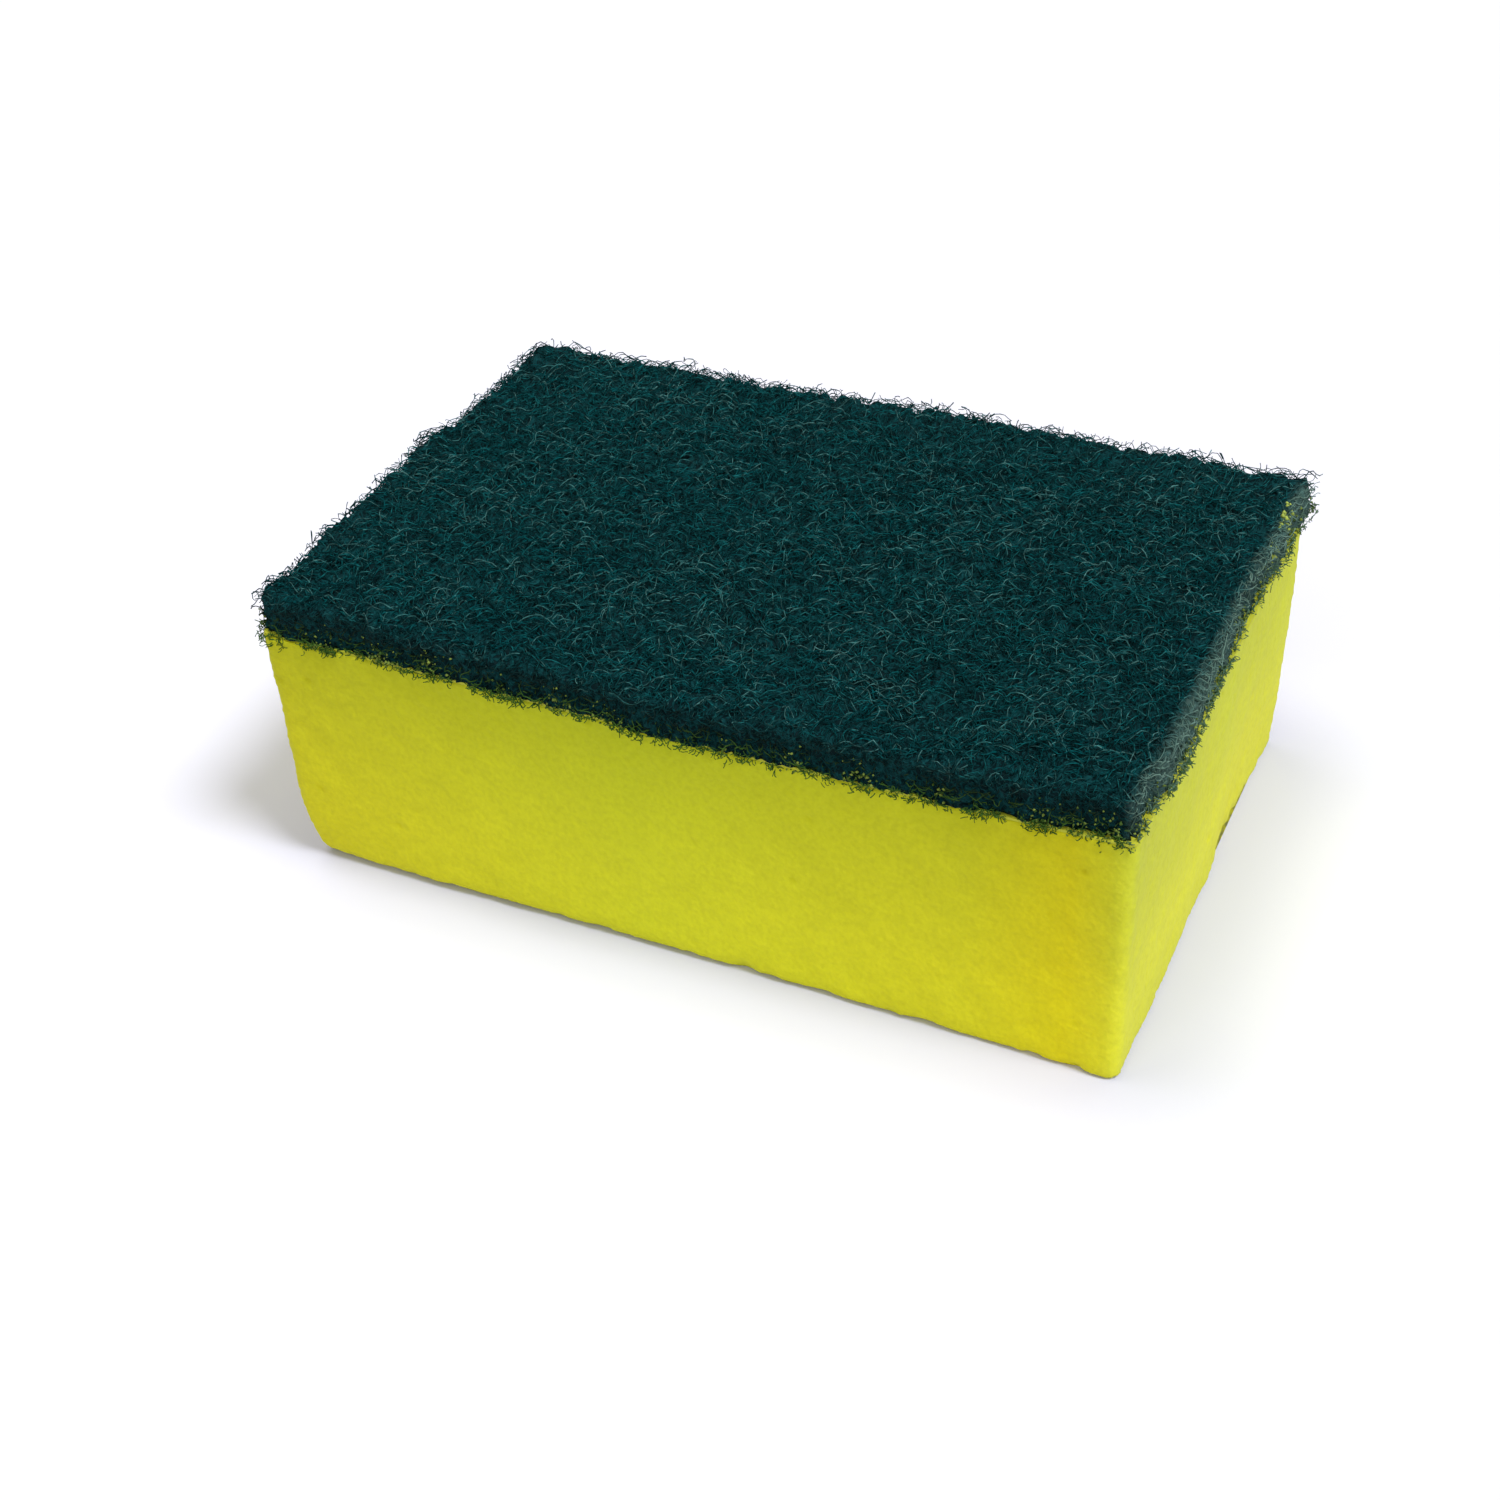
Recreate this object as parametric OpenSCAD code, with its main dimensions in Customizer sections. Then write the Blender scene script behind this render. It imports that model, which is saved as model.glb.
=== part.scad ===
// Kitchen scouring sponge: a soft foam block with a scouring pad glued on top.
// The origin is the middle of the base. X runs along the length, Y from front to back, Z up.

/* [Foam block] */
// Length of the block at the joint
foam_l = 110; // [80:1:130]
// Width of the block at the joint
foam_w = 71; // [50:1:85]
// Height of the block, from its base to the joint
foam_h = 34.8; // [15:0.1:60]
// Radius of the four upright corners
corner_r = 0.8; // [0.4:0.1:6]
// How far each end leans in at the base
end_lean = 0.4; // [0:0.1:3]
// How far the front and the back lean in at the base
side_lean = 0.4; // [0:0.1:3]
// How much further the base is drawn in at the middle of the front and the back
side_hollow = 0.6; // [0:0.1:1.5]
// Radius of the soft edge round the base, halfway along the block
base_edge_r = 1.4; // [0.6:0.1:2]
// How much larger that radius is at the left end, and smaller at the right end
base_edge_taper = 0.6; // [0:0.1:0.6]
// Rise and fall of the joint face, which a blade cuts a little wavy
joint_wave = 0.4; // [0:0.1:1]
// Length of one wave of the joint face
joint_wave_l = 124; // [60:1:200]

/* [Glue film] */
// Thickness of the glue film
film_t = 0.3; // [0.1:0.05:0.6]

/* [Scouring pad] */
// Thickness of the pad, from the glue film to the crests of the web
pad_t = 5.8; // [3:0.2:12]
// How far the pad's edge stands out past the foam
pad_overhang = 0.2; // [0:0.1:1.5]
// Radius of the pad's four upright corners
pad_corner_r = 2; // [1:0.1:6]
// Slow in-and-out wander of the pad's cut edge
edge_wander = 0.6; // [0:0.05:1.5]
// Length of one wander along the front and the back
edge_wander_l = 95; // [40:1:200]
// How many times faster the edge wanders along the two ends
end_wander_rate = 1.7; // [1:0.1:3]
// Where along the block the wander starts
edge_wander_start = 5.8; // [-50:0.1:50]
// Length of the torn fibre ends on the cut edge
fray = 0.6; // [0:0.05:1.2]
// How far the pad's rim is worn down and in at its top edge
edge_wear = 0.9; // [0.2:0.1:1.5]
// Least gap between the pad's lifted rim and the glue film
rim_lift = 0.15; // [0.15:0.05:0.5]
// How unevenly the rim is lifted
rim_ripple = 0.6; // [0:0.1:1.5]
// Distance between neighbouring crossings of the web's fibres
web_pitch = 1.5; // [1.5:0.1:3]
// Depth of the openings between the fibres
web_depth = 1.5; // [0.2:0.1:2.4]
// How far a fibre crossing wanders from an even net
web_curl = 0.45; // [0:0.05:0.6]
// Slow swell of the pad's top face
pad_swell = 0.25; // [0:0.05:0.6]
// Draw number that picks one tangle of fibres
tangle = 7; // [1:1:99]

/* [Hidden] */

foam_half = [foam_l / 2, foam_w / 2];
pad_half = foam_half + [pad_overhang, pad_overhang];

// The two waves of the pad's edge add up to this many times edge_wander where they meet.
wander_peak = 1.4;
deepest_bite = wander_peak * edge_wander + fray - pad_overhang;

// The seat is the net of points on which foam, film and pad meet face to face.
// It keeps clear of the foam's corners and of the deepest bite into the pad's edge, corners included.
corner_cut = 1 - cos(45);
seat_clearance = 0.3;
seat_in = max(corner_r, deepest_bite + corner_cut * pad_corner_r) + seat_clearance;
webs_per_seat = 5;
seat_flat = [foam_l - 2 * seat_in, foam_w - 2 * seat_in];
seat_n = [for (side = seat_flat) max(2, round(side / (web_pitch * webs_per_seat)))];
web_n = seat_n * webs_per_seat;

// Three more rows on each side of the seat round the foam's corners, in steps of this many degrees.
corner_turn = 22.5;
corner_step = corner_r * (1 - tan(corner_turn));
film_n = [seat_n.x + 6, seat_n.y + 6];

// Each layer of foam points, as a share of the height above the rounded base edge.
foam_levels = [0.8, 0.6, 0.4, 0.2, 0];
base_arc = [30, 60, 90];

// Each ring of the pad's cut edge, as a share of the thickness below the top ring.
rim_levels = [0.3, 0.65, 1];
// How far into the pad its edge's wander is felt.
wander_reach = 8;
// Shortest torn end of the cut edge, as a share of the longest.
least_tear = 0.3;
// Shallowest opening of the web and deepest sunk crossing, as shares of web_depth.
least_opening = 0.4;
crossing_dip = 0.35;

// Height of the joint face, where the wave has its crest at the front left and the back right.
function joint_z(x, y) = foam_h + joint_wave * sin(360 * (x - y / 2 + joint_wave_l / 2) / joint_wave_l);

// Places of the seat's points along one side, with the three rounding rows at either end.
function seat_places(half, n) =
    let (flat = half - seat_in)
    concat(
        [-half, -half + corner_step, -half + corner_r],
        [for (i = [0:n]) -flat + 2 * flat * i / n],
        [half - corner_r, half - corner_step, half]
    );

// Moves an outline point that lies beside a corner onto that corner's arc.
function round_corner(p, half, r) =
    let (centre = half - [r, r], d = [abs(p.x), abs(p.y)] - centre)
    min(d) > 0 ? [for (k = [0:1]) sign(p[k]) * (centre[k] + r * d[k] / norm(d))] : p;

// The point of the pad's outline at a place given in shares of its half length and half width.
function pad_outline(share, grow) =
    let (half = pad_half + [grow, grow])
    round_corner([share.x * half.x, share.y * half.y], half, pad_corner_r);

// Numbers of the points round a net of n.x by n.y cells, anticlockwise from the front left.
function net_rim(n, first = 0) =
    let (row = n.x + 1)
    concat(
        [for (i = [0:n.x - 1]) first + i],
        [for (j = [0:n.y - 1]) first + n.x + row * j],
        [for (i = [n.x:-1:1]) first + i + row * n.y],
        [for (j = [n.y:-1:1]) first + row * j]
    );

// Faces of a net seen from above. Every second row may slant the other way, as a staggered net does.
function net_faces(n, first = 0, staggered = false) =
    let (row = n.x + 1)
    [
        for (j = [0:n.y - 1], i = [0:n.x - 1])
            let (a = first + i + row * j, b = a + 1, c = b + row, d = a + row)
            each staggered && j % 2 == 1 ? [[a, c, b], [a, d, c]] : [[a, d, b], [b, d, c]]
    ];

// Turns faces over, for the underside of a solid.
function flipped(faces) = [for (f = faces) [f[0], f[2], f[1]]];

// Faces between two rings with as many points, the upper ring first.
function band_faces(upper, lower) =
    let (n = len(upper))
    [
        for (i = [0:n - 1])
            let (k = (i + 1) % n)
            each [[upper[i], upper[k], lower[i]], [upper[k], lower[k], lower[i]]]
    ];

// Underside faces between a fine outer ring and an inner ring with one point for every step of it.
function gather_faces(outer, inner, step) =
    let (n = len(outer), m = len(inner))
    concat(
        [
            for (i = [0:n - 1])
                let (near = floor((i + step / 2) / step) % m)
                [outer[i], outer[(i + 1) % n], inner[near]]
        ],
        [
            for (i = [0:m - 1])
                let (shared = (i * step + ceil(step / 2)) % n)
                [outer[shared], inner[(i + 1) % m], inner[i]]
        ]
    );

// The net of points that covers the whole joint face, raised by lift.
function joint_net(lift) =
    let (xs = seat_places(foam_half.x, seat_n.x), ys = seat_places(foam_half.y, seat_n.y))
    [
        for (y = ys, x = xs)
            let (on_rim = abs(x) == foam_half.x || abs(y) == foam_half.y)
            let (p = on_rim ? round_corner([x, y], foam_half, corner_r) : [x, y])
            [p.x, p.y, joint_z(p.x, p.y) + lift]
    ];

// Radius of the soft base edge below a point of the joint.
function base_r(p) = base_edge_r - base_edge_taper * p.x / foam_half.x;

// The point of the foam's side below p at height z, drawn in by its lean and by edge_in more.
function foam_point(p, z, edge_in) =
    let (
        drawn = 1 - z / p.z,
        hollow = side_hollow * cos(90 * p.x / foam_half.x),
        inset = [end_lean * drawn + edge_in, (side_lean + hollow) * drawn + edge_in]
    )
    [p.x * (1 - inset.x / foam_half.x), p.y * (1 - inset.y / foam_half.y), z];

module foam_block() {
    top = joint_net(0);
    rim = net_rim(film_n);
    n = len(rim);
    sides = [
        for (up = foam_levels, k = rim)
            let (p = top[k], r = base_r(p))
            foam_point(p, r + (p.z - r) * up, 0)
    ];
    edge = [
        for (turn = base_arc, k = rim)
            let (p = top[k], r = base_r(p))
            foam_point(p, r * (1 - sin(turn)), r * (1 - cos(turn)))
    ];
    rings = len(foam_levels) + len(base_arc);
    first = len(top);
    ring_points = [for (r = [0:rings - 1]) [for (i = [0:n - 1]) first + r * n + i]];
    rows = concat([rim], ring_points);
    hub = first + rings * n;
    last = rows[rings];
    above_floor = 2 * max(foam_l, foam_w, foam_h);
    color("#dfdd3a")
        intersection() {
            polyhedron(
                points = concat(top, sides, edge, [[0, 0, 0]]),
                faces = concat(
                    net_faces(film_n),
                    [for (r = [0:rings - 1]) each band_faces(rows[r], rows[r + 1])],
                    [for (i = [0:n - 1]) [last[i], last[(i + 1) % n], hub]]
                )
            );
            // The cut at the floor leaves the base as one flat face.
            translate([-above_floor / 2, -above_floor / 2, 0]) cube(above_floor);
        }
}

module glue_film() {
    lower = joint_net(0);
    upper = joint_net(film_t);
    first = len(lower);
    color("#a7ab35")
        polyhedron(
            points = concat(lower, upper),
            faces = concat(
                flipped(net_faces(film_n)),
                net_faces(film_n, first),
                band_faces(net_rim(film_n, first), net_rim(film_n))
            )
        );
}

// Height of the top face of the pad, before the web is cut into it.
function pad_top(x, y) =
    let (crown = cos(360 * x / joint_wave_l) * cos(360 * y / joint_wave_l))
    joint_z(x, y) + film_t + pad_t + pad_swell * (crown - 1);

// A point of the pad after its edge has wandered in or out, which carries the web beside the edge along.
function wandered(p) =
    let (
        turn = 360 * (p.x + end_wander_rate * p.y - edge_wander_start) / edge_wander_l,
        swing = edge_wander * (sin(turn) + cos(3 * turn) / 2)
    )
    [for (k = [0:1]) p[k] + sign(p[k]) * swing * max(0, 1 - (pad_half[k] - abs(p[k])) / wander_reach)];

// An opening lies in the middle of each ring of six crossings, so it is every third point of the net.
function is_opening(i, j) = (i + 2 * floor(j / 2) + 2 * j) % 3 == 0;

module scouring_pad() {
    row = web_n.x + 1;
    count = row * (web_n.y + 1);
    cell = [2 * pad_half.x / web_n.x, 2 * pad_half.y / web_n.y];
    curl_x = rands(-web_curl, web_curl, count, tangle);
    curl_y = rands(-web_curl, web_curl, count, tangle + 1);
    height = rands(0, 1, count, tangle + 2);

    web = [
        for (j = [0:web_n.y], i = [0:web_n.x])
            let (
                k = i + row * j,
                on_rim = i == 0 || j == 0 || i == web_n.x || j == web_n.y,
                even = [-pad_half.x + i * cell.x, -pad_half.y + j * cell.y],
                stagger = (j % 2 - 0.5) * cell.x / 2,
                p = wandered(on_rim
                    ? pad_outline([2 * i / web_n.x - 1, 2 * j / web_n.y - 1], -edge_wear * height[k])
                    : even + [stagger + curl_x[k], curl_y[k]]),
                opening = least_opening + (1 - least_opening) * height[k],
                sink = on_rim
                    ? edge_wear * (1 + height[k]) / 2
                    : web_depth * (is_opening(i, j) ? opening : crossing_dip * height[k])
            )
            [p.x, p.y, pad_top(p.x, p.y) - sink]
    ];

    rim = net_rim(web_n);
    n = len(rim);
    torn = rands(least_tear * fray, fray, n * len(rim_levels), tangle + 3);
    ripple = rands(0, 1, n, tangle + 4);
    sides = [
        for (r = [0:len(rim_levels) - 1], i = [0:n - 1])
            let (
                top = web[rim[i]],
                share = [2 * (rim[i] % row) / web_n.x - 1, 2 * floor(rim[i] / row) / web_n.y - 1],
                tooth = torn[r * n + i] * ((i + r) % 2 == 0 ? 1 : -1),
                p = wandered(pad_outline(share, tooth)),
                foot = joint_z(p.x, p.y) + film_t + rim_lift + rim_ripple * ripple[i]
            )
            [p.x, p.y, top.z + (foot - top.z) * rim_levels[r]]
    ];

    seat = [
        for (j = [0:seat_n.y], i = [0:seat_n.x])
            let (x = seat_flat.x * (i / seat_n.x - 0.5), y = seat_flat.y * (j / seat_n.y - 0.5))
            [x, y, joint_z(x, y) + film_t]
    ];
    rings = [for (r = [0:len(rim_levels) - 1]) [for (i = [0:n - 1]) len(web) + r * n + i]];
    rows = concat([rim], rings);
    seat_first = len(web) + len(sides);
    color("#0f4b48")
        polyhedron(
            points = concat(web, sides, seat),
            faces = concat(
                net_faces(web_n, 0, true),
                [for (r = [0:len(rings) - 1]) each band_faces(rows[r], rows[r + 1])],
                gather_faces(rows[len(rings)], net_rim(seat_n, seat_first), webs_per_seat),
                flipped(net_faces(seat_n, seat_first))
            )
        );
}

foam_block();
glue_film();
scouring_pad();
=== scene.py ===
import math

import bpy
import numpy as np
from mathutils import Matrix, Vector
from mathutils.bvhtree import BVHTree


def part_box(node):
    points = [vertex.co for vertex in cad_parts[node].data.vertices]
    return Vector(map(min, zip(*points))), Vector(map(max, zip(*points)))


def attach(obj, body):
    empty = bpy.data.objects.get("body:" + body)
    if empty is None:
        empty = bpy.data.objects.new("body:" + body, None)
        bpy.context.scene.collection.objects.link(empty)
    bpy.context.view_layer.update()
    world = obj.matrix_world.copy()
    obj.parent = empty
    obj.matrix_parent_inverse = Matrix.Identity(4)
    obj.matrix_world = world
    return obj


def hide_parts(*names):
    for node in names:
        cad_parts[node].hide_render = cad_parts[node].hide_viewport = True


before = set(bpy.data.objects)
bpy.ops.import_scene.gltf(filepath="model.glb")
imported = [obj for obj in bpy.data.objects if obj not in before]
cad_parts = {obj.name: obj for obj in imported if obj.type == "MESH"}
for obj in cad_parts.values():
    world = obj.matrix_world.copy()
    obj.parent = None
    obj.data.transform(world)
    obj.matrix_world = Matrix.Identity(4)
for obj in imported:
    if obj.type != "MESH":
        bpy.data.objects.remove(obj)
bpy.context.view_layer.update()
MM = 0.001


# Foam block: soft open-cell polyurethane foam, dyed lemon yellow.
# A blade cuts it from one slab, so its sides are a little hollow and lean in towards the base,
# its edges are soft and its faces show the cut cells.
FOAM_END_LEAN = 0.4 * MM
FOAM_SIDE_LEAN = 0.6 * MM
FOAM_SIDE_HOLLOW = 0.6 * MM
FOAM_CORNER_R = 1.5 * MM
BASE_EDGE_R = 1.5 * MM
BASE_EDGE_TAPER = 0.7 * MM
FILM_THICKNESS = 0.3 * MM
FOAM_CELL = 0.6 * MM
FOAM_CELL_DEPTH = 0.07 * MM
FOAM_SLOW_WAVE = 0.12 * MM
CELL_SIZE = 0.7 * MM
GRAIN_SIZE = 0.8 * MM
BLOTCH_SIZE = 16.7 * MM
SMALL_BUMP = 0.3 * MM
PINHOLE_COUNT = 80
PINHOLE_DEPTH = 0.5 * MM
NICK_COUNT = 70
# Wide places on the sides, as x, y, z, width and how far the block stands out there, all in mm.
# Below zero it is pressed in.
FOAM_PRESSED = [
    (55, 18, 2, 15, -0.8), (55, 34, 18, 14, 0.35), (-55, -34, 8, 9, 0.8), (-55, -34, 30, 12, 0.6),
    (-48, -35, 1, 9, -0.5), (-54.5, -34.5, 0.5, 3.5, -0.8)]


def srgb(code):
    """The linear colour of an sRGB hex code."""
    parts = [int(code[i:i + 2], 16) / 255 for i in (1, 3, 5)]
    return [c / 12.92 if c <= 0.04045 else ((c + 0.055) / 1.055) ** 2.4 for c in parts] + [1.0]


def add(tree, kind, links=None, **settings):
    """Adds one shader node with its settings, socket values and incoming links."""
    made = tree.nodes.new(kind)
    for name, value in settings.items():
        setattr(made, name, value)
    for socket, value in (links or {}).items():
        if isinstance(value, bpy.types.NodeSocket):
            tree.links.new(value, made.inputs[socket])
        else:
            made.inputs[socket].default_value = value
    return made


def new_material(name):
    """An empty node material and its output node."""
    material = bpy.data.materials.new(name)
    material.use_nodes = True
    material.node_tree.nodes.clear()
    return material, add(material.node_tree, "ShaderNodeOutputMaterial")


def new_piece(name, points, quads, triangles=()):
    """A smooth-shaded mesh object from arrays of points, four-sided faces and triangles."""
    quads = np.asarray(quads, np.int32).reshape(-1, 4)
    triangles = np.asarray(triangles, np.int32).reshape(-1, 3)
    mesh = bpy.data.meshes.new(name)
    mesh.vertices.add(len(points))
    mesh.vertices.foreach_set("co", np.asarray(points, np.float32).ravel())
    corners = np.concatenate([quads.ravel(), triangles.ravel()])
    mesh.loops.add(len(corners))
    mesh.loops.foreach_set("vertex_index", corners)
    sizes = np.concatenate([np.full(len(quads), 4), np.full(len(triangles), 3)])
    mesh.polygons.add(len(sizes))
    mesh.polygons.foreach_set("loop_start", np.concatenate([[0], np.cumsum(sizes)[:-1]]))
    mesh.polygons.foreach_set("use_smooth", np.ones(len(sizes), bool))
    mesh.update(calc_edges=True)
    mesh.validate()
    piece = bpy.data.objects.new(name, mesh)
    bpy.context.scene.collection.objects.link(piece)
    return piece


def ring_faces(rings, around):
    """Quads between rings of points that follow one another, each ring going anticlockwise."""
    low = np.arange(rings - 1)[:, None] * around + np.arange(around)[None, :]
    turn = (np.arange(around) + 1) % around
    next_low = np.arange(rings - 1)[:, None] * around + turn[None, :]
    return np.stack([low, low + around, next_low + around, next_low], -1).reshape(-1, 4)


def outline(half_x, half_y, corner_r, count):
    """Points at even steps round a rounded rectangle, anticlockwise, and the way outward at each."""
    flat_x, flat_y = half_x - corner_r, half_y - corner_r
    arc = corner_r * math.pi / 2
    legs = [2 * flat_x, arc, 2 * flat_y, arc, 2 * flat_x, arc, 2 * flat_y, arc]
    starts = np.concatenate([[0], np.cumsum(legs)])
    steps = np.arange(count) * starts[-1] / count
    points = np.zeros((count, 2))
    outward = np.zeros((count, 2))
    corners = [(flat_x, -flat_y), (flat_x, flat_y), (-flat_x, flat_y), (-flat_x, -flat_y)]
    for leg in range(8):
        on = (steps >= starts[leg]) & (steps < starts[leg + 1])
        along = steps[on] - starts[leg]
        side = leg // 2
        if leg % 2:
            angle = (side - 1) * math.pi / 2 + along / corner_r
            outward[on] = np.stack([np.cos(angle), np.sin(angle)], -1)
            points[on] = np.array(corners[side]) + corner_r * outward[on]
        else:
            outward[on] = [(0, -1), (1, 0), (0, 1), (-1, 0)][side]
            forward = np.array([(1, 0), (0, 1), (-1, 0), (0, -1)][side])
            start = np.array(corners[side]) - forward * legs[leg]
            points[on] = start + corner_r * outward[on] + along[:, None] * forward
    return points, outward


def slow_noise(points, size, seed):
    """Smooth noise, mostly from -1 to 1, with bumps of about that size: waves in random directions."""
    draw = np.random.default_rng(seed)
    total = np.zeros(points.shape[:-1])
    waves = 12
    for _ in range(waves):
        direction = draw.normal(size=points.shape[-1])
        direction *= draw.uniform(0.6, 1.5) / np.linalg.norm(direction)
        total += np.sin(points @ direction * (2 * math.pi / size) + draw.uniform(0, 2 * math.pi))
    return total / math.sqrt(waves)


# The film lies on the foam's top face, so a grid of heights read off the film gives the joint anywhere.
film_low, film_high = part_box("glue_film")
film_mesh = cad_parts["glue_film"].data
film_tree = BVHTree.FromPolygons(
    [v.co for v in film_mesh.vertices], [p.vertices for p in film_mesh.polygons])
GRID_STEP = 2.0 * MM
grid_x = np.arange(film_low.x + MM, film_high.x - MM / 2, GRID_STEP)
grid_y = np.arange(film_low.y + MM, film_high.y - MM / 2, GRID_STEP)
film_top_grid = np.zeros((len(grid_y), len(grid_x)))
for row, y in enumerate(grid_y):
    for column, x in enumerate(grid_x):
        hit = film_tree.ray_cast(Vector((x, y, 1.0)), Vector((0, 0, -1)))
        film_top_grid[row, column] = hit[0].z


def film_top(x, y):
    """Height of the glue film's top face at arrays of places, held level past its edge."""
    u = np.clip((x - grid_x[0]) / GRID_STEP, 0, len(grid_x) - 1.001)
    v = np.clip((y - grid_y[0]) / GRID_STEP, 0, len(grid_y) - 1.001)
    i, j = u.astype(int), v.astype(int)
    fu, fv = u - i, v - j
    near = film_top_grid[j, i] * (1 - fu) + film_top_grid[j, i + 1] * fu
    far = film_top_grid[j + 1, i] * (1 - fu) + film_top_grid[j + 1, i + 1] * fu
    return near * (1 - fv) + far * fv


foam_half_x = (film_high.x - film_low.x) / 2
foam_half_y = (film_high.y - film_low.y) / 2
foam_around = int(4 * (foam_half_x + foam_half_y) / FOAM_CELL)
foam_ring, foam_outward = outline(foam_half_x, foam_half_y, FOAM_CORNER_R, foam_around)
foam_top_z = film_top(foam_ring[:, 0], foam_ring[:, 1]) - FILM_THICKNESS
base_r = BASE_EDGE_R - BASE_EDGE_TAPER * foam_ring[:, 0] / foam_half_x


def foam_side_ring(height, edge_in):
    """One ring of the foam's side at those heights, drawn in by its lean and by edge_in more."""
    drawn = 1 - height / foam_top_z
    hollow = FOAM_SIDE_HOLLOW * np.cos(foam_ring[:, 0] / foam_half_x * math.pi / 2)
    inset_x = FOAM_END_LEAN * drawn + edge_in
    inset_y = (FOAM_SIDE_LEAN + hollow) * drawn + edge_in
    return np.stack([
        foam_ring[:, 0] * (1 - inset_x / foam_half_x),
        foam_ring[:, 1] * (1 - inset_y / foam_half_y),
        height,
    ], -1)


# Rings of points run out over the top face to its rim, down the sides, round the base edge and in
# under the base. Their insets are in mm.
foam_rings = []
for inset in (34, 26, 16, 8, 4, 2, 1, 0.4):
    flat = foam_ring * [1 - inset * MM / foam_half_x, 1 - inset * MM / foam_half_y]
    foam_rings.append(np.column_stack([flat, film_top(flat[:, 0], flat[:, 1]) - FILM_THICKNESS]))
side_first = len(foam_rings)
side_steps = int(foam_top_z.mean() / FOAM_CELL)
for step in range(side_steps + 1):
    foam_rings.append(foam_side_ring(base_r + (foam_top_z - base_r) * (1 - step / side_steps), 0.0))
for turn in (18, 36, 54, 72, 90):
    angle = math.radians(turn)
    foam_rings.append(foam_side_ring(base_r * (1 - math.sin(angle)), base_r * (1 - math.cos(angle))))
side_last = len(foam_rings) - 2
base_ring = foam_rings[-1]
for inset in (0.6, 1.5, 3, 6, 12, 20, 28, 33):
    shrink = np.array([1 - inset * MM / foam_half_x, 1 - inset * MM / foam_half_y, 1])
    foam_rings.append(base_ring * shrink)
foam_points = np.concatenate(foam_rings)

# The cut cells: every point of the sides moves a little in or out, with slow waves, pinholes, nicked edges
# and the wide places where the soft block is pressed in or stands out.
foam_random = np.random.default_rng(11)
side_points = slice(side_first * foam_around, (side_last + 1) * foam_around)
sides = foam_points[side_points]
outward = np.tile(foam_outward, (side_last - side_first + 1, 1))
push = FOAM_CELL_DEPTH * foam_random.uniform(-1.2, 0.8, len(sides))
push += FOAM_SLOW_WAVE * slow_noise(sides, 17 * MM, 3) + FOAM_SLOW_WAVE / 2 * slow_noise(sides, 6 * MM, 4)
push *= 0.3 + 0.7 * np.clip((film_low.z - sides[:, 2]) / (2 * MM), 0, 1)
for _ in range(PINHOLE_COUNT):
    centre = sides[foam_random.integers(len(sides))]
    size = foam_random.uniform(0.5, 0.8) * MM
    away = np.linalg.norm(sides - centre, axis=1)
    push -= PINHOLE_DEPTH * foam_random.uniform(0.3, 1) * np.clip(1 - (away / size) ** 2, 0, 1)
for x, y, z, size, out in FOAM_PRESSED:
    away = np.linalg.norm(sides - np.array([x, y, z]) * MM, axis=1)
    push += out * MM * np.exp(-(away / (size * MM)) ** 2)
edge_rows = (side_last - side_first - 3) * foam_around
for _ in range(NICK_COUNT):
    centre = sides[foam_random.integers(edge_rows, len(sides))]
    size = foam_random.uniform(0.7, 1.6) * MM
    away = np.linalg.norm(sides - centre, axis=1)
    push -= foam_random.uniform(0.1, 0.35) * MM * np.clip(1 - (away / size) ** 2, 0, 1)
foam_points[side_points, :2] += outward * push[:, None]

caps = []
for ring_start, turned in ((0, False), ((len(foam_rings) - 1) * foam_around, True)):
    here = ring_start + np.arange(foam_around)
    there = ring_start + (np.arange(foam_around) + 1) % foam_around
    hub = np.full(foam_around, len(foam_points))
    foam_points = np.concatenate([foam_points, foam_points[here].mean(0)[None]])
    caps.append(np.stack([there, here, hub] if turned else [here, there, hub], -1))
foam_sides = ring_faces(len(foam_rings), foam_around)
foam = new_piece("foam_block_cut", foam_points, foam_sides, np.concatenate(caps))

# Polyurethane foam: matt and even, with a fine grain of cut cells, and a little light passes into it.
# Its yellow carries a painted shade, dull and greenish, that grows towards the glued joint. Near the right
# end it turns golden and lighter, and its cut face there is a paler lemon: that lightening is a painted
# highlight from the lamp on the right.
foam_material, foam_out = new_material("polyurethane_foam_open_cell")
tree = foam_material.node_tree
place = add(tree, "ShaderNodeTexCoord").outputs["Object"]
blotch = add(tree, "ShaderNodeTexNoise", {
    "Vector": place, "Scale": 1 / BLOTCH_SIZE, "Detail": 3.0, "Roughness": 0.55})
cells = add(tree, "ShaderNodeTexVoronoi", {"Vector": place, "Scale": 1 / CELL_SIZE, "Randomness": 1.0})
grain = add(tree, "ShaderNodeTexNoise", {
    "Vector": place, "Scale": 1 / GRAIN_SIZE, "Detail": 2.0, "Roughness": 0.6})
axes = add(tree, "ShaderNodeSeparateXYZ", {"Vector": place})
along = add(tree, "ShaderNodeMapRange", {
    "Value": axes.outputs["X"], "From Min": -56 * MM, "From Max": 56 * MM, "To Min": 0.0, "To Max": 1.0})
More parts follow.
